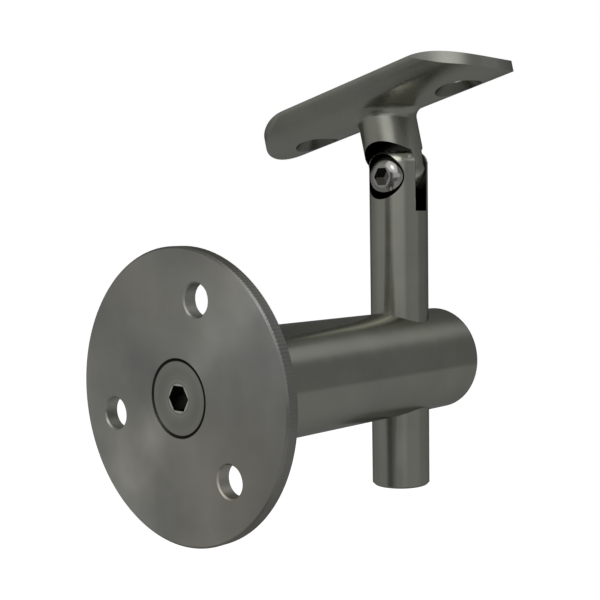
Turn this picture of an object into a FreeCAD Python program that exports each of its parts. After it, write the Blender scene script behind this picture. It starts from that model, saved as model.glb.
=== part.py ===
import FreeCAD, Part
import math
import os

# Handrail bracket: a round wall plate, a solid arm, a height-adjustable post and a tilting rail saddle.
#
# Millimetres. The origin is the centre of the plate's back face, which lies on the wall (the plane y = 0).
# The wall is on the +Y side, the arm runs along -Y, +Z is up and the handrail runs along X.
# The saddle stands tilted about its pivot, which lies along Y.

# ---- Wall plate ----
PLATE_D = 60.0
PLATE_T = 3.0
PLATE_EDGE = 0.4             # chamfer round both faces
BOLT_COUNT = 3
BOLT_CIRCLE_D = 41.0
BOLT_HOLE_D = 6.6
BOLT_HOLE_EDGE = 0.3         # chamfer at the back face
BOLT_FIRST_ANGLE = 106.4     # degrees from +X towards +Z

# ---- Countersunk screw from the back of the plate into the arm ----
PLATE_SCREW_D = 8.0
PLATE_SCREW_LEN = 25.0
PLATE_HEAD_D = 15.2
PLATE_HEAD_LAND = 0.2        # short cylindrical rim of the head
PLATE_HEAD_SINK = 0.1        # how far the head lies below the plate's back face
PLATE_HEX = 5.0              # across flats
PLATE_HEX_DEPTH = 3.2
PLATE_SCREW_ROOM = 0.4       # least radial room for the screw's thread in the plate
ARM_CONE_CLEAR = 0.3         # radial room for the head's cone in the arm's mouth
TAP_EDGE = 0.3               # least chamfer at a tapped hole's mouth
TAP_EXTRA = 3.0              # depth of a blind tapped hole past its screw

# ---- Arm ----
ARM_D = 25.0
ARM_END_ROUND = 1.5
ARM_ROOT_EDGE = 0.4
POST_REACH = 70.7            # wall to the axis of the post
ARM_PAST_POST = 15.9         # axis of the post to the arm's free end

# ---- Post ----
POST_D = 14.0
POST_BELOW = 29.7            # arm axis down to the post's lower end
POST_FOOT_EDGE = 0.5
PIVOT_HEIGHT = 44.8          # arm axis up to the pivot
POST_FIT = 0.05              # radial running clearance in the arm
SLOT_W = 4.1
SLOT_FLOOR_CLEAR = 1.1       # tongue to the floor of the slot
EAR_TOP = 6.0                # pivot up to the flat top of the ears
EAR_ROUND = 3.0              # rounding of the rod's upper end

# ---- Pivot screw ----
PIVOT_SCREW_D = 6.0
PIVOT_HEAD_D = 10.0
PIVOT_HEAD_K = 2.3
PIVOT_HEAD_LAND = 0.35
PIVOT_HEAD_TOP_D = 5.2
PIVOT_DOME_BULGE = 0.62      # middle of the dome, as a share of its way in and of its way up
PIVOT_HEAD_CLEAR = 0.25      # radial gap in the counterbore
PIVOT_SEAT_WALL = 2.05       # ear left under the head
PIVOT_HEX = 4.0
PIVOT_HEX_DEPTH = 1.9
PIVOT_TAIL_SINK = 0.8        # screw end below the far ear's skin
PIVOT_FIT = 0.06             # radial running clearance in the tongue

# ---- Grub screw in the arm's free end ----
CLAMP_SCREW_D = 6.0
CLAMP_SINK = 1.0
CLAMP_TIP_D = 4.0
CLAMP_GAP = 0.1
CLAMP_HEX = 3.0
CLAMP_HEX_DEPTH = 3.0

# ---- Saddle ----
RAIL_D = 42.4
SADDLE_LEN = 71.2
SADDLE_W = 26.9
SADDLE_END = 15.9            # length of each rounded end
SADDLE_T = 2.4
CRADLE_OFFSET = 0.9          # middle of the cradle from the neck's axis, along the rail
SADDLE_SIDE_ROUND = 5.2      # rounding of the two long lower edges
NECK_LEN = 6.5               # solid neck between the undercut and the underside
NECK_FILLET = 2.2
UNDERCUT_CLEAR = 0.2
TONGUE_FIT = 0.05            # gap at each side of the tongue
TONGUE_WALL = 1.94           # metal round the tongue's hole
TONGUE_CORNER = 4.8
RAIL_HOLE_D = 6.5
RAIL_HOLE_SINK_D = 11.2
RAIL_HOLE_SPACING = 45.0
SADDLE_TILT = 13.4           # degrees about +Y at rest

THREAD_FIT = 0.02            # radial gap between a screw's thread and its tapped hole
CUT_PAST = 1.0               # how far a drill passes the faces that it goes through
SAME = 0.01                  # two measures nearer than this count as equal

# ---- Derived places ----
plate_r = PLATE_D / 2
arm_r = ARM_D / 2
post_r = POST_D / 2
rail_r = RAIL_D / 2
arm_root_y = -PLATE_T
arm_end_y = -POST_REACH - ARM_PAST_POST
pivot_y = -POST_REACH
pivot_r = PIVOT_SCREW_D / 2
tongue_hole_r = pivot_r + PIVOT_FIT
tongue_end = tongue_hole_r + TONGUE_WALL
tongue_half = SLOT_W / 2 - TONGUE_FIT
tongue_sweep_r = math.hypot(post_r, tongue_end * math.sqrt(2) - post_r)
slot_floor_z = PIVOT_HEIGHT - tongue_sweep_r - SLOT_FLOOR_CLEAR
ear_reach_r = math.hypot(post_r - EAR_ROUND, EAR_TOP - EAR_ROUND) + EAR_ROUND
undercut_r = ear_reach_r + UNDERCUT_CLEAR
underside_h = undercut_r + NECK_LEN
rail_axis_h = underside_h + SADDLE_T + rail_r
seat_y = pivot_y + SLOT_W / 2 + PIVOT_SEAT_WALL
clamp_tip_y = pivot_y - post_r - CLAMP_GAP

X = FreeCAD.Vector(1, 0, 0)
Y = FreeCAD.Vector(0, 1, 0)
Z = FreeCAD.Vector(0, 0, 1)


def vec(x, y, z):
    return FreeCAD.Vector(x, y, z)


def cylinder(radius, start, direction, length):
    return Part.makeCylinder(radius, length, start, direction)


def box_between(low, high):
    size = high - low
    return Part.makeBox(size.x, size.y, size.z, low)


def turned_about_y(profile, y_start):
    """Solid of revolution about the Y axis from (radius, depth) points, depth running along -Y."""
    points = [vec(radius, y_start - depth, 0) for radius, depth in profile]
    face = Part.Face(Part.makePolygon(points + points[:1]))
    return face.revolve(vec(0, y_start, 0), Y, 360)


def hex_prism(across_flats, start, direction, depth, first_corner):
    """Six-sided socket with a corner towards first_corner."""
    corner_r = across_flats / math.sqrt(3)
    side = direction.cross(first_corner)
    corners = []
    for index in range(6):
        angle = math.radians(60 * index)
        across = first_corner * math.cos(angle) + side * math.sin(angle)
        corners.append(start + across * corner_r)
    face = Part.Face(Part.makePolygon(corners + corners[:1]))
    return face.extrude(direction * depth)


def same(a, b):
    return abs(a - b) < SAME


def circle_edges(shape, radius, y):
    """Circular edges of one radius in the plane at y."""
    found = []
    for edge in shape.Edges:
        is_circle = isinstance(edge.Curve, Part.Circle)
        if is_circle and same(edge.Curve.Radius, radius) and same(edge.Curve.Center.y, y):
            found.append(edge)
    return found


def edge_middle(edge):
    return edge.valueAt((edge.FirstParameter + edge.LastParameter) / 2)


def head_cone_radius(y):
    """Radius of the countersunk head's 90 degree cone at a place along Y."""
    return PLATE_HEAD_D / 2 + (y + PLATE_HEAD_SINK + PLATE_HEAD_LAND)


def bolt_centres():
    for index in range(BOLT_COUNT):
        angle = math.radians(BOLT_FIRST_ANGLE - 360.0 / BOLT_COUNT * index)
        yield vec(BOLT_CIRCLE_D / 2 * math.cos(angle), 0, BOLT_CIRCLE_D / 2 * math.sin(angle))


def wall_plate():
    plate = cylinder(plate_r, vec(0, 0, 0), -Y, PLATE_T)
    rims = circle_edges(plate, plate_r, 0) + circle_edges(plate, plate_r, -PLATE_T)
    plate = plate.makeChamfer(PLATE_EDGE, rims)
    hole_r = BOLT_HOLE_D / 2
    for centre in bolt_centres():
        plate = plate.cut(cylinder(hole_r, centre, -Y, PLATE_T))
        mouth = Part.makeCone(hole_r + BOLT_HOLE_EDGE, hole_r, BOLT_HOLE_EDGE, centre, -Y)
        plate = plate.cut(mouth)
    seat = Part.makeCone(head_cone_radius(0), head_cone_radius(-PLATE_T), PLATE_T, vec(0, 0, 0), -Y)
    shank_hole = cylinder(PLATE_SCREW_D / 2 + PLATE_SCREW_ROOM, vec(0, 0, 0), -Y, PLATE_T)
    return plate.cut(seat.fuse(shank_hole))


def plate_screw():
    head_r = PLATE_HEAD_D / 2
    thread_r = PLATE_SCREW_D / 2 - THREAD_FIT
    cone_depth = head_r - thread_r
    profile = [
        (0, 0),
        (head_r, 0),
        (head_r, PLATE_HEAD_LAND),
        (thread_r, PLATE_HEAD_LAND + cone_depth),
        (thread_r, PLATE_SCREW_LEN),
        (0, PLATE_SCREW_LEN),
    ]
    screw = turned_about_y(profile, -PLATE_HEAD_SINK)
    return screw.cut(hex_prism(PLATE_HEX, vec(0, -PLATE_HEAD_SINK, 0), -Y, PLATE_HEX_DEPTH, X))


def arm():
    bar = cylinder(arm_r, vec(0, arm_root_y, 0), -Y, arm_root_y - arm_end_y)
    bar = bar.makeFillet(ARM_END_ROUND, circle_edges(bar, arm_r, arm_end_y))
    bar = bar.makeChamfer(ARM_ROOT_EDGE, circle_edges(bar, arm_r, arm_root_y))

    tap_r = PLATE_SCREW_D / 2
    tap_end_y = -PLATE_HEAD_SINK - PLATE_SCREW_LEN - TAP_EXTRA
    bar = bar.cut(cylinder(tap_r, vec(0, arm_root_y, 0), -Y, arm_root_y - tap_end_y))
    mouth_r = max(head_cone_radius(arm_root_y) + ARM_CONE_CLEAR, tap_r + TAP_EDGE)
    bar = bar.cut(Part.makeCone(mouth_r, tap_r, mouth_r - tap_r, vec(0, arm_root_y, 0), -Y))

    bore_r = post_r + POST_FIT
    bar = bar.cut(cylinder(bore_r, vec(0, pivot_y, -arm_r), Z, ARM_D))
    clamp_hole = cylinder(CLAMP_SCREW_D / 2, vec(0, arm_end_y, 0), Y, ARM_PAST_POST)
    return bar.cut(clamp_hole)


def clamp_screw():
    screw_r = CLAMP_SCREW_D / 2 - THREAD_FIT
    tip_r = CLAMP_TIP_D / 2
    length = clamp_tip_y - (arm_end_y + CLAMP_SINK)
    profile = [
        (0, 0),
        (tip_r, 0),
        (screw_r, screw_r - tip_r),
        (screw_r, length),
        (0, length),
    ]
    screw = turned_about_y(profile, clamp_tip_y)
    socket = hex_prism(CLAMP_HEX, vec(0, arm_end_y + CLAMP_SINK, 0), Y, CLAMP_HEX_DEPTH, X)
    return screw.cut(socket)


def post():
    top_z = PIVOT_HEIGHT + EAR_TOP
    rod = cylinder(post_r, vec(0, pivot_y, -POST_BELOW), Z, POST_BELOW + top_z)
    rod = rod.makeFillet(EAR_ROUND, [edge for edge in rod.Edges if same(edge.BoundBox.ZMin, top_z)])
    foot = [edge for edge in rod.Edges if same(edge.BoundBox.ZMax, -POST_BELOW)]
    rod = rod.makeChamfer(POST_FOOT_EDGE, foot)

    slot_low = vec(-post_r, pivot_y - SLOT_W / 2, slot_floor_z)
    slot_high = vec(post_r, pivot_y + SLOT_W / 2, top_z)
    rod = rod.cut(box_between(slot_low, slot_high))

    pivot = vec(0, pivot_y, PIVOT_HEIGHT)
    head_room_r = PIVOT_HEAD_D / 2 + PIVOT_HEAD_CLEAR
    rod = rod.cut(cylinder(pivot_r, pivot - Y * post_r, Y, POST_D))
    return rod.cut(cylinder(head_room_r, vec(0, seat_y, PIVOT_HEIGHT), Y, post_r))


def pivot_screw():
    head_r = PIVOT_HEAD_D / 2
    top_r = PIVOT_HEAD_TOP_D / 2
    thread_r = pivot_r - THREAD_FIT
    crown_y = seat_y + PIVOT_HEAD_K
    tail_y = pivot_y - post_r + PIVOT_TAIL_SINK
    land_y = seat_y + PIVOT_HEAD_LAND
    rise = PIVOT_HEAD_K - PIVOT_HEAD_LAND
    dome = Part.Arc(
        vec(head_r, land_y, 0),
        vec(top_r + (head_r - top_r) * PIVOT_DOME_BULGE, land_y + rise * PIVOT_DOME_BULGE, 0),
        vec(top_r, crown_y, 0),
    ).toShape()
    outline = [
        Part.makeLine(vec(0, crown_y, 0), vec(0, tail_y, 0)),
        Part.makeLine(vec(0, tail_y, 0), vec(thread_r, tail_y, 0)),
        Part.makeLine(vec(thread_r, tail_y, 0), vec(thread_r, seat_y, 0)),
        Part.makeLine(vec(thread_r, seat_y, 0), vec(head_r, seat_y, 0)),
        Part.makeLine(vec(head_r, seat_y, 0), vec(head_r, land_y, 0)),
        dome,
        Part.makeLine(vec(top_r, crown_y, 0), vec(0, crown_y, 0)),
    ]
    screw = Part.Face(Part.Wire(outline)).revolve(vec(0, 0, 0), Y, 360)
    screw = screw.cut(hex_prism(PIVOT_HEX, vec(0, crown_y, 0), -Y, PIVOT_HEX_DEPTH, X))
    screw.translate(Z * PIVOT_HEIGHT)
    return screw


def rounded_plan():
    """Plan of the cradle, a straight-sided bar with half-ellipse ends, in the saddle's own frame at z = 0."""
    half_w = SADDLE_W / 2
    straight = SADDLE_LEN / 2 - SADDLE_END
    right = Part.Ellipse(vec(straight, 0, 0), SADDLE_END, half_w)
    left = Part.Ellipse(vec(-straight, 0, 0), SADDLE_END, half_w)
    edges = [
        Part.makeLine(vec(-straight, -half_w, 0), vec(straight, -half_w, 0)),
        right.toShape(-math.pi / 2, math.pi / 2),
        Part.makeLine(vec(straight, half_w, 0), vec(-straight, half_w, 0)),
        left.toShape(math.pi / 2, 3 * math.pi / 2),
    ]
    plan = Part.Face(Part.Wire(edges))
    plan.translate(X * CRADLE_OFFSET)
    return plan


def rail_cylinder(radius):
    return cylinder(radius, vec(-SADDLE_LEN, 0, rail_axis_h), X, 2 * SADDLE_LEN)


def bed_corner(radius, across):
    """Point of the bed's section on an arc about the rail's axis."""
    return vec(CRADLE_OFFSET - SADDLE_LEN / 2, across, rail_axis_h - math.sqrt(radius**2 - across**2))


def bed_arc(radius):
    half_w = SADDLE_W / 2
    ends = bed_corner(radius, -half_w), bed_corner(radius, half_w)
    return Part.Arc(ends[0], bed_corner(radius, 0), ends[1]).toShape()


def cradle():
    """Curved bed of the saddle: long lower edges rounded, ends cut straight to the plan."""
    half_w = SADDLE_W / 2
    outer_r = rail_r + SADDLE_T
    edges = [
        bed_arc(rail_r),
        Part.makeLine(bed_corner(rail_r, half_w), bed_corner(outer_r, half_w)),
        bed_arc(outer_r),
        Part.makeLine(bed_corner(outer_r, -half_w), bed_corner(rail_r, -half_w)),
    ]
    bed = Part.Face(Part.Wire(Part.__sortEdges__(edges))).extrude(X * SADDLE_LEN)
    lower = []
    for edge in bed.Edges:
        middle = edge_middle(edge)
        on_outer = same(math.hypot(middle.y, middle.z - rail_axis_h), outer_r)
        if on_outer and same(abs(middle.y), half_w):
            lower.append(edge)
    bed = bed.makeFillet(SADDLE_SIDE_ROUND, lower)
    return bed.common(rounded_plan().extrude(Z * rail_axis_h))


def tongue():
    """Flat tongue with a cornered end, bounded by the neck's own round skin."""
    top = undercut_r + NECK_LEN / 2
    flat = tongue_end * math.sqrt(2)
    points = [
        (post_r, top),
        (post_r, post_r - flat),
        (flat - tongue_end, -tongue_end),
        (tongue_end - flat, -tongue_end),
        (-post_r, post_r - flat),
        (-post_r, top),
    ]
    outline = [vec(x, -tongue_half, z) for x, z in points]
    blade = Part.Face(Part.makePolygon(outline + outline[:1])).extrude(Y * (2 * tongue_half))
    corners = []
    for edge in blade.Edges:
        across = edge.BoundBox.YLength > tongue_half
        if across and edge.BoundBox.ZMax < 0:
            corners.append(edge)
    blade = blade.makeFillet(TONGUE_CORNER, corners)
    skin = cylinder(post_r, vec(0, 0, -2 * tongue_end), Z, top + 2 * tongue_end)
    return blade.common(skin)


def saddle():
    """Cradle, round neck and tongue in one casting, tilted about the pivot."""
    neck = cylinder(post_r, vec(0, 0, 0), Z, rail_axis_h - rail_r + post_r)
    body = cradle().fuse(neck.cut(rail_cylinder(rail_r))).removeSplitter()
    joint = []
    for edge in body.Edges:
        middle = edge_middle(edge)
        on_neck = same(math.hypot(middle.x, middle.y), post_r)
        on_underside = same(math.hypot(middle.y, middle.z - rail_axis_h), rail_r + SADDLE_T)
        if on_neck and on_underside:
            joint.append(edge)
    body = body.makeFillet(NECK_FILLET, joint)
    body = body.cut(cylinder(undercut_r, vec(0, -POST_D, 0), Y, 2 * POST_D))
    body = body.fuse(tongue()).removeSplitter()
    body = body.cut(cylinder(tongue_hole_r, vec(0, -POST_D, 0), Y, 2 * POST_D))

    hole_r = RAIL_HOLE_D / 2
    sink_r = RAIL_HOLE_SINK_D / 2
    for side in (-1, 1):
        foot = vec(CRADLE_OFFSET + side * RAIL_HOLE_SPACING / 2, 0, underside_h)
        body = body.cut(cylinder(hole_r, foot - Z * CUT_PAST, Z, SADDLE_T + 2 * CUT_PAST))
        body = body.cut(Part.makeCone(sink_r, hole_r, sink_r - hole_r, foot, Z))
    body.rotate(vec(0, 0, 0), Y, SADDLE_TILT)
    body.translate(vec(0, pivot_y, PIVOT_HEIGHT))
    return body


PARTS = {
    "wall_plate": wall_plate,
    "plate_screw": plate_screw,
    "arm": arm,
    "clamp_screw": clamp_screw,
    "post": post,
    "pivot_screw": pivot_screw,
    "saddle": saddle,
}

os.makedirs("parts", exist_ok=True)
for name, make in PARTS.items():
    shape = make()
    shape.exportStep("parts/" + name + ".step")
    print(name, "solids", len(shape.Solids), "volume", round(shape.Volume, 1), "valid", shape.isValid())
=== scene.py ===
"""Looks, lights and camera for a wall bracket that carries a round handrail.

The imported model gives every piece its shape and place. This script dresses each piece in its own metal finish,
builds a pale studio round the bracket and sets the camera. Lengths are in metres, except the places where a
finish changes, which are in millimetres as the model's own sizes are.
"""

import logging
import math
from dataclasses import dataclass
from enum import Enum

import bmesh
import bpy
from mathutils import Matrix, Vector


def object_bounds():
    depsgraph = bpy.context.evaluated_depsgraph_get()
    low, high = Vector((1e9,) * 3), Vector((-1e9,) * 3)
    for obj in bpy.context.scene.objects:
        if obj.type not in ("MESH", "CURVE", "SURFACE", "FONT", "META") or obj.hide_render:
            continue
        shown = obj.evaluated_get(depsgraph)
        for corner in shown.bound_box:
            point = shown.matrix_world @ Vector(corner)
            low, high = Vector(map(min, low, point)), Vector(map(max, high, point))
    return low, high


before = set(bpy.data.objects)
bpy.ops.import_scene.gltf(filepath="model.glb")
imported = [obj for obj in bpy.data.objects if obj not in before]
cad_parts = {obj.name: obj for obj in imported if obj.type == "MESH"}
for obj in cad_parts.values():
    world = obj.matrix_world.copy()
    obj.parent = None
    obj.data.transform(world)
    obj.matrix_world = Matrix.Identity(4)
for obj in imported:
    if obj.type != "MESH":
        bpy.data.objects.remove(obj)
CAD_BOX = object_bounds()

LOG = logging.getLogger("bracket")

Colour = tuple[float, float, float]
Point = tuple[float, float, float]
Output = bpy.types.NodeSocket

STEEL: Colour = (0.420, 0.426, 0.378)
PALE_STEEL: Colour = (0.498, 0.505, 0.470)
SCREW_STEEL: Colour = (0.47, 0.47, 0.45)
WARM: Colour = (1.04, 0.97, 0.90)  # how the warmer patches of a metal differ from its colour
WARM_SPAN = (0.4, 0.65)  # the noise values where they begin and are full
WARM_SCALE = 0.6  # how many of them there are to a lump of the mottling
GRAZING = 0.6  # how light a metal turns where it is seen along its surface
LINE_SHADE = 0.02  # how much darker and lighter the working lines are
WORKING_LINES = 1e-6  # their depth in metres
LONG_WAY = 0.02  # their width over their length
ROUGHNESS_SPREAD = 0.1  # how far the roughness strays, as a share
ROUGHNESS_SCALE = 2.0  # how much finer it strays than the mottling
NOISE_SPAN = (0.3, 0.7)  # where nearly all of a noise's values lie
RIM_RISE = 0.1  # millimetres over which the ridges of a rim begin

CENTRE: Point = (0.0, 0.0, 0.0)
AXIS_Y: Point = (0.0, 1.0, 0.0)
AXIS_Z: Point = (0.0, 0.0, 1.0)
PIVOT: Point = (0.0, -70.7, 44.8)
MM_PER_M = 1000.0
TO_MIDDLE = -1.0  # the inner radius of a zone without a hole


class Lay(Enum):
    """Which way a finish stretches its reflections."""

    RADIAL = "out from the Y axis"
    ALONG_Y = "along the arm"
    ALONG_Z = "along the post"
    NONE = "no direction"


class NodeTree:
    """Short calls for building one material's or world's nodes."""

    def __init__(self, tree: bpy.types.NodeTree) -> None:
        """Take over a tree and empty it.

        Args:
            tree: The node tree of a material or of the world.
        """
        self.tree = tree
        tree.nodes.clear()

    def node(self, kind: str, **settings: object) -> bpy.types.Node:
        """Add a node.

        Args:
            kind: Blender's name for the node's type.
            **settings: Attributes to set on it.

        Returns:
            The new node.
        """
        made = self.tree.nodes.new(kind)
        for key, value in settings.items():
            setattr(made, key, value)
        return made

    def plug(self, socket: Output, value: object) -> None:
        """Link an output to a socket, or set the socket's own value.

        Args:
            socket: The input to fill.
            value: An output, or a value of the socket's kind.
        """
        if isinstance(value, Output):
            self.tree.links.new(value, socket)
        else:
            socket.default_value = value

    def math(self, operation: str, *values: object, clamp: bool = False) -> Output:
        """Combine numbers.

        Args:
            operation: Blender's name for the operation.
            *values: One to three numbers or outputs.
            clamp: Whether the result stays from 0 to 1.

        Returns:
            The result's output.
        """
        made = self.node("ShaderNodeMath", operation=operation, use_clamp=clamp)
        for socket, value in zip(made.inputs, values):
            self.plug(socket, value)
        return made.outputs[0]

    def noise(self, vector: object, scale: float, detail: float) -> Output:
        """Smooth noise from 0 to 1, about 0.5 on average.

        Args:
            vector: Where it is read.
            scale: Lumps per metre.
            detail: Octaves of finer noise.

        Returns:
            The noise's value.
        """
        made = self.node("ShaderNodeTexNoise", noise_dimensions="3D")
        self.plug(made.inputs["Vector"], vector)
        made.inputs["Scale"].default_value = scale
        made.inputs["Detail"].default_value = detail
        return made.outputs["Fac"]

    def range(
        self, value: object, low: float, high: float, to_low: float, to_high: float, smooth: bool = False
    ) -> Output:
        """Map one range of numbers to another, held at both ends.

        Args:
            value: The number to map.
            low: Where the first range begins.
            high: Where it ends.
            to_low: What its beginning becomes.
            to_high: What its end becomes.
            smooth: Whether the change eases in and out.

        Returns:
            The mapped number.
        """
        made = self.node("ShaderNodeMapRange", interpolation_type="SMOOTHSTEP" if smooth else "LINEAR")
        ends = (("From Min", low), ("From Max", high), ("To Min", to_low), ("To Max", to_high))
        for name, number in ends:
            made.inputs[name].default_value = number
        self.plug(made.inputs["Value"], value)
        return made.outputs["Result"]

    def grey(self, level: Output) -> Output:
        """A colour whose three parts are one number."""
        return self.join(level, level, level)

    def split(self, vector: object) -> tuple[Output, ...]:
        """The three parts of a vector.

        Args:
            vector: The vector to take apart.

        Returns:
            Its x, y and z.
        """
        made = self.node("ShaderNodeSeparateXYZ")
        self.plug(made.inputs[0], vector)
        return tuple(made.outputs)

    def join(self, x: object, y: object, z: object) -> Output:
        """A vector from three parts.

        Args:
            x: Its first part, a number or an output.
            y: Its second part.
            z: Its third part.

        Returns:
            The vector.
        """
        made = self.node("ShaderNodeCombineXYZ")
        for socket, value in zip(made.inputs, (x, y, z)):
            self.plug(socket, value)
        return made.outputs[0]

    def vector(self, operation: str, *values: object) -> Output:
        """Combine vectors.

        Args:
            operation: Blender's name for the operation.
            *values: One or two vectors or outputs.

        Returns:
            The result, a number for a length or a dot product and a vector for the rest.
        """
        made = self.node("ShaderNodeVectorMath", operation=operation)
        for socket, value in zip(made.inputs, values):
            self.plug(socket, value)
        return made.outputs["Value" if operation in ("DOT_PRODUCT", "LENGTH") else "Vector"]

    def flat(self, place: object) -> Output:
        """A place brought onto the XZ plane."""
        return self.vector("MULTIPLY", place, (1.0, 0.0, 1.0))

    def band(self, value: object, low: float, high: float, soft: float) -> Output:
        """1 between two values and 0 outside them.

        Args:
            value: The number to test.
            low: Where the band begins.
            high: Where it ends.
            soft: Half the width of each of its edges.

        Returns:
            How far the number lies in the band.
        """
        rise = self.range(value, low - soft, low + soft, 0.0, 1.0, smooth=True)
        fall = self.range(value, high - soft, high + soft, 1.0, 0.0, smooth=True)
        return self.math("MULTIPLY", rise, fall)

    def mix_value(self, factor: object, first: object, second: object) -> Output:
        """Mix two numbers.

        Args:
            factor: Share of the second number.
            first: The number at 0.
            second: The number at 1.

        Returns:
            The mixed number.
        """
        made = self.node("ShaderNodeMix", data_type="FLOAT")
        for socket, value in zip((made.inputs[0], made.inputs[2], made.inputs[3]), (factor, first, second)):
            self.plug(socket, value)
        return made.outputs[0]

    def blend(self, factor: object, first: object, second: object, kind: str = "MIX") -> Output:
        """Mix two colours.

        Args:
            factor: Share of the second colour.
            first: The colour at 0.
            second: The colour at 1.
            kind: Blender's name for the way of mixing.

        Returns:
            The mixed colour.
        """
        made = self.node("ShaderNodeMix", data_type="RGBA", blend_type=kind)
        self.plug(made.inputs["Factor"], factor)
        for socket, colour in ((made.inputs["A"], first), (made.inputs["B"], second)):
            self.plug(socket, (*colour, 1.0) if isinstance(colour, tuple) else colour)
        return made.outputs["Result"]


@dataclass(frozen=True)
class Zone:
    """A round region of a piece where shade or light is painted into its colour, in millimetres at rest.

    It lies round an axis through its centre, from an inner to an outer radius, and from low to high along the axis.
    The taper narrows it by that much for each millimetre along the axis, and soft is half the width of its edges.
    """

    centre: Point
    axis: Point
    inner: float
    outer: float
    low: float
    high: float
    # painted shade below 1 and painted light above 1, multiplying the colour
    factor: float
    taper: float = 0.0
    soft: float = 0.04

    def shade(self, net: NodeTree, place_mm: object) -> Output:
        """The painted shade or light factor inside the zone and 1 outside it.

        Args:
            net: The material's nodes.
            place_mm: Object coordinates in millimetres.

        Returns:
            A factor for the colour.
        """
        offset = net.vector("SUBTRACT", place_mm, self.centre)
        along = net.vector("DOT_PRODUCT", offset, self.axis)
        out = net.vector("LENGTH", net.vector("CROSS_PRODUCT", offset, self.axis))
        reach = net.math("ADD", out, net.math("MULTIPLY", along, self.taper))
        inside = net.band(reach, self.inner, self.outer, self.soft)
        inside = net.math("MULTIPLY", inside, net.band(along, self.low, self.high, self.soft))
        return net.mix_value(inside, 1.0, self.factor)


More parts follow.
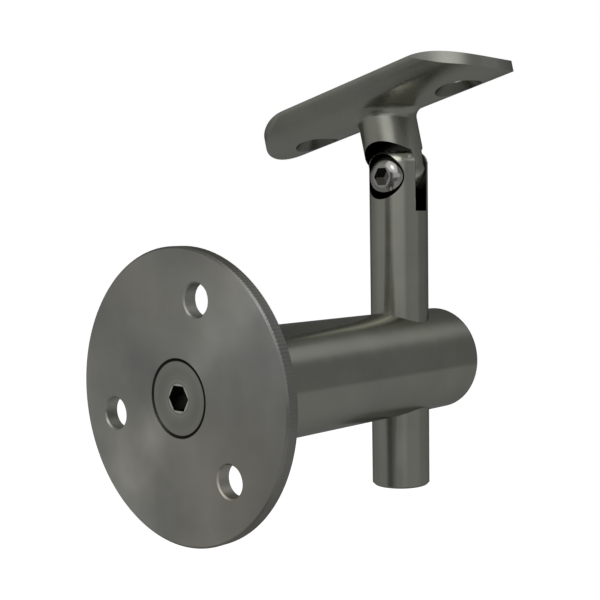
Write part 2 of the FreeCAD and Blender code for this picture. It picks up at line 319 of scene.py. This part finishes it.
@dataclass(frozen=True)
class MetalFinish:
    """One metal finish: its colour, how it was worked and how it shines.

    Depths are in metres. The cloudy mottling changes the colour by its share, and warmth is how far its warmer
    patches go. A rim radius in millimetres says where the ridges of a knurled rim stand.
    """

    name: str
    colour: Colour
    roughness: float
    anisotropy: float = 0.0
    lay: Lay = Lay.NONE
    mottle: float = 0.06
    mottle_per_m: float = 90.0
    warmth: float = 0.25
    line_depth: float = 0.0
    lines_per_m: float = 5000.0
    ripple_depth: float = 0.0
    ripple_per_m: float = 160.0
    # round regions where shade and light are painted into the colour
    zones: tuple[Zone, ...] = ()
    rim_ridges: int = 0
    rim_radius: float = 29.97
    rim_depth: float = 0.0

    def line_place(self, net: NodeTree, place: object) -> Output:
        """Where the working lines are read, fine across the lines and long along them.

        Args:
            net: The material's nodes.
            place: Object coordinates.

        Returns:
            A vector for the line noise.
        """
        if self.lay is Lay.ALONG_Y:
            return net.vector("MULTIPLY", place, (LONG_WAY, 1.0, LONG_WAY))
        if self.lay is Lay.ALONG_Z:
            return net.vector("MULTIPLY", place, (LONG_WAY, LONG_WAY, 1.0))
        if self.lay is Lay.RADIAL:
            x, _, z = net.split(place)
            out = net.vector("LENGTH", net.flat(place))
            return net.join(out, net.math("MULTIPLY", x, LONG_WAY), net.math("MULTIPLY", z, LONG_WAY))
        return place

    def tangent(self, net: NodeTree, place: object) -> Output | None:
        """The direction along which reflections stretch.

        Args:
            net: The material's nodes.
            place: Object coordinates.

        Returns:
            The direction, or None where the finish has none.
        """
        if self.lay is Lay.RADIAL:
            return net.flat(place)
        if self.lay is Lay.ALONG_Y:
            return net.join(*AXIS_Y)
        if self.lay is Lay.ALONG_Z:
            return net.join(*AXIS_Z)
        return None

    def painted_light_and_shade(self, net: NodeTree, place: object) -> Output:
        """How far the painted shade and light of the zones darken or lighten a place.

        Args:
            net: The material's nodes.
            place: Object coordinates.

        Returns:
            A factor for the colour.
        """
        place_mm = net.vector("MULTIPLY", place, (MM_PER_M, MM_PER_M, MM_PER_M))
        factor: object = 1.0
        for zone in self.zones:
            factor = net.math("MULTIPLY", factor, zone.shade(net, place_mm))
        return factor

    def base_colour(self, net: NodeTree, place: object, lines: object, factor: object) -> Output:
        """The metal's colour with its mottling, its working lines and the shade and light painted in its zones.

        Args:
            net: The material's nodes.
            place: Object coordinates.
            lines: The noise of the working lines.
            factor: How far the painted shade and light of the zones darken or lighten the place.

        Returns:
            The colour.
        """
        cloud = net.noise(place, self.mottle_per_m, detail=3.0)
        level = net.range(cloud, *NOISE_SPAN, 1.0 - self.mottle, 1.0 + self.mottle)
        level = net.math("MULTIPLY", level, net.range(lines, *NOISE_SPAN, 1.0 - LINE_SHADE, 1.0 + LINE_SHADE))
        # the painted shade and light of the zones
        level = net.math("MULTIPLY", level, factor)
        warm = tuple(part * change for part, change in zip(self.colour, WARM))
        patches = net.noise(place, self.mottle_per_m * WARM_SCALE, detail=2.0)
        share = net.range(patches, *WARM_SPAN, 0.0, self.warmth)
        return net.blend(1.0, net.blend(share, self.colour, warm), net.grey(level), "MULTIPLY")

    def height(self, net: NodeTree, place: object, lines: object) -> Output:
        """Surface height: working lines, slow ripples and, on a rim, ridges.

        Args:
            net: The material's nodes.
            place: Object coordinates.
            lines: The noise of the working lines.

        Returns:
            The height in metres.
        """
        height = net.math("MULTIPLY", lines, self.line_depth)
        ripple = net.noise(place, self.ripple_per_m, detail=1.0)
        height = net.math("ADD", height, net.math("MULTIPLY", ripple, self.ripple_depth))
        if self.rim_ridges:
            x, _, z = net.split(place)
            out = net.math("MULTIPLY", net.vector("LENGTH", net.flat(place)), MM_PER_M)
            wave = net.math("SINE", net.math("MULTIPLY", net.math("ARCTAN2", z, x), float(self.rim_ridges)))
            on_rim = net.range(out, self.rim_radius - RIM_RISE, self.rim_radius, 0.0, self.rim_depth)
            height = net.math("ADD", height, net.math("MULTIPLY", wave, on_rim))
        return height

    def material(self) -> bpy.types.Material:
        """Build the finish.

        Returns:
            A new node material.
        """
        made = bpy.data.materials.new(self.name)
        made.use_nodes = True
        net = NodeTree(made.node_tree)
        place = net.node("ShaderNodeTexCoord").outputs["Object"]
        lines = net.noise(self.line_place(net, place), self.lines_per_m, detail=2.0)
        shader = net.node("ShaderNodeBsdfPrincipled")
        shader.inputs["Metallic"].default_value = 1.0
        shader.inputs["Anisotropic"].default_value = self.anisotropy
        shader.inputs["Specular Tint"].default_value = (GRAZING, GRAZING, GRAZING, 1.0)
        # painted shade and light: the zones darken or lighten the colour and the grazing tint
        factor: object = 1.0
        if self.zones:
            factor = self.painted_light_and_shade(net, place)
            painted_grazing = net.math("MULTIPLY", factor, GRAZING, clamp=True)
            net.plug(shader.inputs["Specular Tint"], net.grey(painted_grazing))
        net.plug(shader.inputs["Base Color"], self.base_colour(net, place, lines, factor))
        cloud = net.noise(place, self.mottle_per_m * ROUGHNESS_SCALE, detail=3.0)
        spread = net.range(cloud, *NOISE_SPAN, 1.0 - ROUGHNESS_SPREAD, 1.0 + ROUGHNESS_SPREAD)
        net.plug(shader.inputs["Roughness"], net.math("MULTIPLY", spread, self.roughness))
        tangent = self.tangent(net, place)
        if tangent is not None:
            net.plug(shader.inputs["Tangent"], tangent)
        bump = net.node("ShaderNodeBump")
        bump.inputs["Strength"].default_value = 1.0
        bump.inputs["Distance"].default_value = 1.0
        net.plug(bump.inputs["Height"], self.height(net, place, lines))
        net.plug(shader.inputs["Normal"], bump.outputs["Normal"])
        output = net.node("ShaderNodeOutputMaterial")
        net.plug(output.inputs["Surface"], shader.outputs["BSDF"])
        return made


class SubAssembly:
    """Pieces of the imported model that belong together."""

    def finishes(self) -> dict[str, MetalFinish]:
        """Each piece's finish, under the piece's name."""
        raise NotImplementedError

    def dress(self) -> None:
        """Give each piece its finish; pieces with one finish share its material."""
        made: dict[str, bpy.types.Material] = {}
        for node, finish in self.finishes().items():
            if finish.name not in made:
                made[finish.name] = finish.material()
            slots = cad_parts[node].material_slots
            for slot in slots:
                slot.link = "DATA"
                slot.material = made[finish.name]
            LOG.info("%s: %s on %d slot(s)", node, finish.name, len(slots))


@dataclass(frozen=True)
class WallMount(SubAssembly):
    """The plate, its screw, the arm and the grub screw in the arm's free end.

    The sizes are in millimetres round the Y axis: the plate's screw hole from its throat to its mouth and the
    plate's rim, both with painted shade, and the screw's head edge and socket with painted shade and its painted
    highlight and shade rings. Depths are taken from the wall's plane.
    """

    throat_radius: float = 5.0
    mouth_radius: float = 8.05
    mouth_depth: float = 3.2
    rim_from: float = 29.55
    rim_to: float = 31.0
    rim_width: float = 2.6
    rim_ridges: int = 241
    rim_ridge_depth: float = 1.6e-5
    head_edge_shade: tuple[float, float] = (7.4, 9.0)
    socket_radius: float = 2.95
    socket_top: float = 0.25
    socket_depth: float = 3.6
    socket_rim_highlight: float = 2.93
    painted_highlight_ring: tuple[float, float] = (3.3, 3.8)
    painted_shade_ring: tuple[float, float] = (4.6, 6.2)
    above_face: float = 0.2
    face_depth: float = 0.22

    def plate(self) -> MetalFinish:
        """Cloudy, turned steel with painted shade in its screw hole and on its finely ridged rim.

        Returns:
            The finish.
        """
        # painted shade in the screw hole round the screw's head
        hole = Zone(
            CENTRE, AXIS_Y, self.throat_radius, self.mouth_radius, -self.mouth_depth, self.above_face, factor=0.12
        )
        # painted shade that dims the rim
        rim = Zone(CENTRE, AXIS_Y, self.rim_from, self.rim_to, -self.rim_width, self.above_face, factor=0.75)
        return MetalFinish(
            "plate_turned", PALE_STEEL, roughness=0.37, anisotropy=0.85, lay=Lay.RADIAL, line_depth=WORKING_LINES,
            mottle=0.24, mottle_per_m=48.0, warmth=0.7, zones=(hole, rim),
            rim_ridges=self.rim_ridges, rim_depth=self.rim_ridge_depth,
        )

    def face_zone(self, inner: float, outer: float, factor: float, soft: float) -> Zone:
        """A ring on the plate screw's face where shade or light is painted.

        Args:
            inner: Its inner radius.
            outer: Its outer radius.
            factor: How far the painted shade or light darkens or lightens it.
            soft: Half the width of its edges.

        Returns:
            The ring's zone.
        """
        return Zone(CENTRE, AXIS_Y, inner, outer, -self.face_depth, self.above_face, factor, soft=soft)

    def screw(self) -> MetalFinish:
        """Turned steel with painted shade at its head edge and socket and painted light and shade rings on its face.

        Returns:
            The finish.
        """
        # painted shade in the gap round the head's edge
        edge = Zone(CENTRE, AXIS_Y, *self.head_edge_shade, -self.mouth_depth, self.above_face, factor=0.15)
        # painted shade in the socket
        socket = Zone(
            CENTRE, AXIS_Y, TO_MIDDLE, self.socket_radius, -self.socket_depth, -self.socket_top, factor=0.25
        )
        return MetalFinish(
            "screw_plain", STEEL, roughness=0.3, anisotropy=0.6, lay=Lay.RADIAL, line_depth=WORKING_LINES,
            zones=(
                edge,
                socket,
                # painted highlight on the socket's rim, a faint painted highlight ring and a faint painted shade
                # ring
                self.face_zone(TO_MIDDLE, self.socket_rim_highlight, factor=1.9, soft=0.03),
                self.face_zone(*self.painted_highlight_ring, factor=1.12, soft=0.1),
                self.face_zone(*self.painted_shade_ring, factor=0.92, soft=0.3),
            ),
        )

    def arm(self) -> MetalFinish:
        """Bar ground round, so its lines run round it and its light along it.

        Returns:
            The finish.
        """
        return MetalFinish(
            "bar_ground", STEEL, roughness=0.23, anisotropy=0.85, lay=Lay.ALONG_Y, line_depth=WORKING_LINES
        )

    def finishes(self) -> dict[str, MetalFinish]:
        """Each piece's finish, under the piece's name."""
        screw = self.screw()
        return {"wall_plate": self.plate(), "plate_screw": screw, "arm": self.arm(), "clamp_screw": screw}


@dataclass(frozen=True)
class SlottedPost(SubAssembly):
    """The post with its slotted upper end and the pivot screw.

    The sizes are in millimetres from the pivot and say where shade and light are painted: shade in the slot and its
    lower core, in the counterbore for the screw's head and in the screw's socket, and light on the rounded cap.
    """

    slot_reach: float = 8.4
    slot_half: float = 2.12
    lower_shade_radius: float = 6.93
    lower_shade_span: tuple[float, float] = (-8.2, -3.0)
    counterbore_radius: float = 5.33
    counterbore_span: tuple[float, float] = (4.0, 8.0)
    cap_highlight_radius: float = 7.5
    cap_highlight_span: tuple[float, float] = (3.5, 7.0)
    socket_ahead: float = 6.4
    socket_radius: float = 2.36
    socket_span: tuple[float, float] = (-2.5, -0.06)

    def post(self) -> MetalFinish:
        """Rod ground round, with painted shade in its slot and counterbore and a painted highlight on its rounded
        end.

        Returns:
            The finish.
        """
        return MetalFinish(
            "rod_ground", STEEL, roughness=0.22, anisotropy=0.85, lay=Lay.ALONG_Z, line_depth=WORKING_LINES,
            zones=(
                # painted shade in the slot, in its lower part and in the counterbore
                Zone(PIVOT, AXIS_Y, TO_MIDDLE, self.slot_reach, -self.slot_half, self.slot_half, factor=0.16),
                Zone(PIVOT, AXIS_Z, TO_MIDDLE, self.lower_shade_radius, *self.lower_shade_span, factor=0.10),
                Zone(PIVOT, AXIS_Y, TO_MIDDLE, self.counterbore_radius, *self.counterbore_span, factor=0.10),
                # painted highlight on the rounded cap
                Zone(PIVOT, AXIS_Z, TO_MIDDLE, self.cap_highlight_radius, *self.cap_highlight_span, factor=2.1, soft=0.4),
            ),
        )

    def pivot_screw(self) -> MetalFinish:
        """Polished steel with painted shade in its socket.

        Returns:
            The finish.
        """
        x, y, z = PIVOT
        mouth = (x, y + self.socket_ahead, z)
        # painted shade in the socket
        socket = Zone(mouth, AXIS_Y, TO_MIDDLE, self.socket_radius, *self.socket_span, factor=0.35)
        return MetalFinish("screw_polished", SCREW_STEEL, roughness=0.10, zones=(socket,))

    def finishes(self) -> dict[str, MetalFinish]:
        """Each piece's finish, under the piece's name."""
        return {"post": self.post(), "pivot_screw": self.pivot_screw()}


@dataclass(frozen=True)
class RailSaddle(SubAssembly):
    """The cast saddle with its tongue and its rail screw holes.

    The sizes are in millimetres from the pivot, and the tilt at rest is in degrees. They say where shade and light
    are
    painted: shade in the mouths of the two holes, in the arched undercut of the neck and on the tongue's side faces,
    and light on the tongue's round end.
    """

    tilt: float = 13.4
    mouth_height: float = 14.7
    bed_offset: float = 0.9
    hole_offset: float = 22.5
    mouth_radius: float = 5.62
    mouth_span: tuple[float, float] = (-0.5, 2.9)
    undercut: tuple[float, float] = (8.05, 8.215)
    undercut_reach: float = 8.0
    side_radius: float = 8.25
    side_faces: tuple[float, float] = (1.95, 2.05)
    end_highlight_ring: tuple[float, float] = (4.0, 6.0)
    end_highlight_half: float = 1.9

    def countersink(self, side: int) -> Zone:
        """The painted shade in the countersink of one rail screw, on one side of the neck.

        Args:
            side: 1 towards +X, -1 towards -X.

        Returns:
            The cone of the countersink.
        """
        tilt = math.radians(self.tilt)
        along = Vector((math.cos(tilt), 0.0, -math.sin(tilt)))
        up = Vector((math.sin(tilt), 0.0, math.cos(tilt)))
        mouth = Vector(PIVOT) + up * self.mouth_height + along * (self.bed_offset + side * self.hole_offset)
        return Zone(tuple(mouth), tuple(up), TO_MIDDLE, self.mouth_radius, *self.mouth_span, factor=0.45, taper=1.0)

    def casting(self) -> MetalFinish:
        """Satin casting with painted shade in its countersinks and undercut, painted light on the tongue's round
        end.

        Returns:
            The finish.
        """
        near, far = self.side_faces
        return MetalFinish(
            "cast_satin", STEEL, roughness=0.28, ripple_depth=6e-5, mottle=0.08,
            zones=(
                # painted shade in the two countersinks, in the undercut and on the tongue's side faces
                self.countersink(1),
                self.countersink(-1),
                Zone(PIVOT, AXIS_Y, *self.undercut, far, self.undercut_reach, factor=0.12, soft=0.01),
                Zone(PIVOT, AXIS_Y, *self.undercut, -self.undercut_reach, -far, factor=0.12, soft=0.01),
                Zone(PIVOT, AXIS_Y, TO_MIDDLE, self.side_radius, near, far, factor=0.12, soft=0.03),
                Zone(PIVOT, AXIS_Y, TO_MIDDLE, self.side_radius, -far, -near, factor=0.12, soft=0.03),
                # painted light on the tongue's round end
                Zone(PIVOT, AXIS_Y, *self.end_highlight_ring, -self.end_highlight_half, self.end_highlight_half, factor=2.2, soft=0.5),
            ),
        )

    def finishes(self) -> dict[str, MetalFinish]:
        """The casting's finish, under its name."""
        return {"saddle": self.casting()}


@dataclass(frozen=True)
class Patch:
    """A soft-edged piece of the surroundings that metal sees, in degrees.

    Its azimuth is measured from +X towards +Y and its low and high edges up from level. Its level is the brightness
    that it has against plain surroundings, and the soft values are half the widths of its edges.
    """

    name: str
    azimuth: float
    half_width: float
    low: float
    high: float
    level: float
    side_soft: float = 6.0
    edge_soft: float = 2.0

    def window(self, net: NodeTree, turn: object, rise: object) -> Output:
        """1 inside the patch, 0 outside.

        Args:
            net: The world's nodes.
            turn: The azimuth in degrees of the direction in view.
            rise: Its elevation in degrees.

        Returns:
            The patch's coverage.
        """
        off = net.math("ABSOLUTE", net.math("WRAP", net.math("SUBTRACT", turn, self.azimuth), 180.0, -180.0))
        inner, outer = self.half_width - self.side_soft, self.half_width + self.side_soft
        side = net.range(off, inner, outer, 1.0, 0.0, smooth=True)
        return net.math("MULTIPLY", side, net.band(rise, self.low, self.high, self.edge_soft))


ALL_ROUND = 400.0  # a half width that reaches every azimuth
DOWN = -110.0  # a low edge that leaves nothing out below

# Each row: name, azimuth, half width, low edge, high edge and level. A later row lies over the earlier ones.
SURROUNDINGS = (
    Patch("left_wall", 190.0, 28.0, -12.0, 60.0, 1.15),
    Patch("left_shade", 172.0, 32.0, 12.0, 50.0, 0.75, side_soft=10.0, edge_soft=4.0),
    Patch("back_left", 236.0, 26.0, -20.0, 31.0, 0.72, side_soft=9.0),
    Patch("back_right", 304.0, 42.0, -20.0, 75.0, 0.62, side_soft=12.0),
    Patch("back_light", 215.0, 45.0, 31.0, 62.0, 1.9, side_soft=17.0),
    Patch("right_wall", 50.0, 24.0, -12.0, 35.0, 1.35, side_soft=16.0),
    Patch("front_strip", 128.0, 26.0, -3.0, 14.0, 2.2, side_soft=8.0, edge_soft=2.5),
    Patch("front_light", 99.0, 38.0, 15.0, 64.0, 3.5, side_soft=8.0, edge_soft=5.0),
    Patch("front_light_core", 99.0, 12.0, 28.0, 44.0, 9.0, side_soft=5.0, edge_soft=4.0),
    Patch("table", 0.0, ALL_ROUND, DOWN, -11.0, 1.12, edge_soft=1.5),
    Patch("table_right", 60.0, 50.0, DOWN, -11.0, 0.85, side_soft=15.0, edge_soft=3.0),
    Patch("table_front", 128.0, 25.0, -64.0, -22.0, 1.35, side_soft=10.0, edge_soft=6.0),
    Patch("under", 0.0, ALL_ROUND, DOWN, -60.0, 0.8, edge_soft=8.0),
    Patch("front_edge", 112.0, 22.0, -18.0, -5.0, 0.55, side_soft=10.0, edge_soft=2.5),
    Patch("front_post", 84.0, 11.0, -60.0, 13.0, 0.42, side_soft=4.0, edge_soft=4.0),
)


@dataclass(frozen=True)
class Lamp:
    """A soft rectangular lamp aimed at the bracket; its level is its face's brightness, where 1 is white."""

    name: str
    place: Point
    size: tuple[float, float]
    level: float
    tint: Colour

    def hang(self, centre: Vector) -> None:
        """Make the lamp.

        Args:
            centre: The bracket's middle, from which its place is measured.
        """
        width, height = self.size
        data = bpy.data.lights.new(self.name, "AREA")
        data.shape = "RECTANGLE"
        data.size, data.size_y = width, height
        data.energy = self.level * math.pi * width * height
        data.color = self.tint
        lamp = bpy.data.objects.new(self.name, data)
        bpy.context.scene.collection.objects.link(lamp)
        lamp.visible_glossy = False
        lamp.location = centre + Vector(self.place)
        lamp.rotation_euler = Vector(self.place).to_track_quat("Z", "Y").to_euler()
        LOG.info("%s: %g W", self.name, data.energy)


@dataclass(frozen=True)
class Studio:
    """Pale floor, white surroundings to the eye and a set of patches that only metal sees.

    The plain level lights surfaces that don't shine. The mirror level is what metal sees between the patches, and
    the mirror gain scales all that it sees. The floor glow makes up for the light that a pale floor misses.
    """

    centre: Vector
    patches: tuple[Patch, ...]
    lamps: tuple[Lamp, ...]
    floor_drop: float = 0.16
    floor_radius: float = 6.0
    floor_sides: int = 64
    floor_shade: float = 0.85
    floor_glow: float = 0.55
    plain_level: float = 0.55
    mirror_level: float = 1.0
    mirror_gain: float = 0.25

    def mirrored(self, net: NodeTree) -> Output:
        """The brightness that metal sees in each direction.

        Args:
            net: The world's nodes.

        Returns:
            The brightness, after the gain.
        """
        x, y, z = net.split(net.node("ShaderNodeTexCoord").outputs["Generated"])
        turn = net.math("DEGREES", net.math("ARCTAN2", y, x))
        rise = net.math("DEGREES", net.math("ARCSINE", z))
        level: object = self.mirror_level
        for patch in self.patches:
            level = net.mix_value(patch.window(net, turn, rise), level, patch.level)
        return net.math("MULTIPLY", level, self.mirror_gain)

    def world(self) -> None:
        """White surroundings to the eye, soft patches of light to the metal."""
        world = bpy.data.worlds.new("studio_world")
        bpy.context.scene.world = world
        world.use_nodes = True
        net = NodeTree(world.node_tree)
        path = net.node("ShaderNodeLightPath")
        level = net.mix_value(path.outputs["Is Glossy Ray"], self.plain_level, self.mirrored(net))
        eye = net.math("MAXIMUM", path.outputs["Is Camera Ray"], path.outputs["Is Transmission Ray"])
        back = net.node("ShaderNodeBackground")
        back.inputs["Color"].default_value = (1.0, 1.0, 1.0, 1.0)
        net.plug(back.inputs["Strength"], net.mix_value(eye, level, 1.0))
        output = net.node("ShaderNodeOutputWorld")
        net.plug(output.inputs["Surface"], back.outputs[0])

    def floor_material(self) -> bpy.types.Material:
        """A pale matt floor that is white to the eye, so only a shadow shows on it.

        Returns:
            The material.
        """
        material = bpy.data.materials.new("studio_floor")
        material.use_nodes = True
        net = NodeTree(material.node_tree)
        pale = net.node("ShaderNodeBsdfDiffuse")
        pale.inputs["Color"].default_value = (self.floor_shade, self.floor_shade, self.floor_shade, 1.0)
        path = net.node("ShaderNodeLightPath")
        seen = net.math("MAXIMUM", path.outputs["Is Camera Ray"], path.outputs["Is Glossy Ray"])
        seen = net.math("MAXIMUM", seen, path.outputs["Is Transmission Ray"])
        glow = net.node("ShaderNodeEmission")
        net.plug(glow.inputs["Strength"], net.math("MULTIPLY", seen, self.floor_glow))
        both = net.node("ShaderNodeAddShader")
        net.plug(both.inputs[0], pale.outputs[0])
        net.plug(both.inputs[1], glow.outputs[0])
        output = net.node("ShaderNodeOutputMaterial")
        net.plug(output.inputs["Surface"], both.outputs[0])
        return material

    def floor(self, height: float) -> None:
        """A round pale floor that keeps a soft shadow.

        Args:
            height: Where it lies.
        """
        mesh = bmesh.new()
        bmesh.ops.create_circle(mesh, cap_ends=True, segments=self.floor_sides, radius=self.floor_radius)
        bmesh.ops.translate(mesh, verts=mesh.verts, vec=(0.0, 0.0, height))
        data = bpy.data.meshes.new("studio_floor")
        mesh.to_mesh(data)
        mesh.free()
        data.materials.append(self.floor_material())
        floor = bpy.data.objects.new("studio_floor", data)
        bpy.context.scene.collection.objects.link(floor)
        floor.visible_glossy = False

    def build(self, lowest: float) -> None:
        """Make the surroundings, the floor and the lamps.

        Args:
            lowest: The height of the bracket's lowest point.
        """
        self.world()
        self.floor(lowest - self.floor_drop)
        for lamp in self.lamps:
            lamp.hang(self.centre)


@dataclass(frozen=True)
class Viewpoint:
    """The camera: where it stands, which way it looks in degrees and how its picture is framed."""

    place: Point = (-0.17379, 0.14927, 0.03395)
    turn: float = 40.452
    dip: float = 6.169
    roll: float = -0.7214
    lens: float = 69.55
    sensor: float = 36.0
    shift: tuple[float, float] = (-0.0948, 0.0810)
    clip: tuple[float, float] = (0.01, 20.0)

    def build(self) -> None:
        """Make the camera and hand it to the scene."""
        turn, dip, roll = (math.radians(angle) for angle in (self.turn, self.dip, self.roll))
        look = Vector((math.sin(turn) * math.cos(dip), -math.cos(turn) * math.cos(dip), -math.sin(dip)))
        right = Vector((-math.cos(turn), -math.sin(turn), 0.0))
        up = right.cross(look)
        right_rolled = right * math.cos(roll) + up * math.sin(roll)
        up_rolled = up * math.cos(roll) - right * math.sin(roll)
        data = bpy.data.cameras.new("camera")
        data.lens, data.sensor_width = self.lens, self.sensor
        data.shift_x, data.shift_y = self.shift
        data.clip_start, data.clip_end = self.clip
        camera = bpy.data.objects.new("camera", data)
        bpy.context.scene.collection.objects.link(camera)
        basis = Matrix((right_rolled, up_rolled, -look)).transposed().to_4x4()
        camera.matrix_world = Matrix.Translation(self.place) @ basis
        bpy.context.scene.camera = camera


def main() -> None:
    """Dress the bracket, build the studio and the camera."""
    logging.basicConfig(level=logging.INFO, format="%(message)s")
    bpy.context.scene.view_settings.view_transform = "Standard"

    for part in (WallMount(), SlottedPost(), RailSaddle()):
        part.dress()

    low, high = CAD_BOX
    over = Lamp("lamp_over", place=(-0.12, -0.55, 0.75), size=(0.60, 0.60), level=1.5, tint=(1.0, 1.0, 0.98))
    Studio((low + high) / 2, SURROUNDINGS, (over,)).build(low.z)
    Viewpoint().build()


if __name__ == "__main__":
    main()
